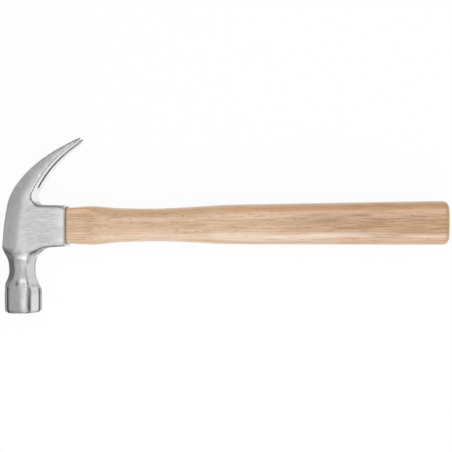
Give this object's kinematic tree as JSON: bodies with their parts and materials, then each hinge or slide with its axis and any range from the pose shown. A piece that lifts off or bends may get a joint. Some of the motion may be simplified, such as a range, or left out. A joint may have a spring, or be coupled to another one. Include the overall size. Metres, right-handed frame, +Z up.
{
  "type": "claw hammer",
  "caption": "Curved claw hammer: a forged steel head with an octagonal neck, a faceted poll and a split claw, wedged on a shaped hardwood handle. For driving and pulling nails.",
  "frame": {"origin": "middle of the box's lowest plane, with the hammer lying on its side", "axes": "+X along the handle from the head to the butt, +Y from the striking face to the claws, +Z up through the thickness"},
  "size_m": [0.3542, 0.1394, 0.0284],
  "materials": {
    "forged_steel": "satin ground forging with a brushed socket",
    "lacquered_wood": "open-pored hardwood under a satin clear lacquer",
    "wedge_wood": "bare end grain",
    "wedge_steel": "plain cut steel"
  },
  "bodies": {
    "root": {"head": "forged_steel", "handle": "lacquered_wood", "wood_wedge": "wedge_wood", "steel_wedge_upper": "wedge_steel", "steel_wedge_lower": "wedge_steel"}
  },
  "joints": []
}
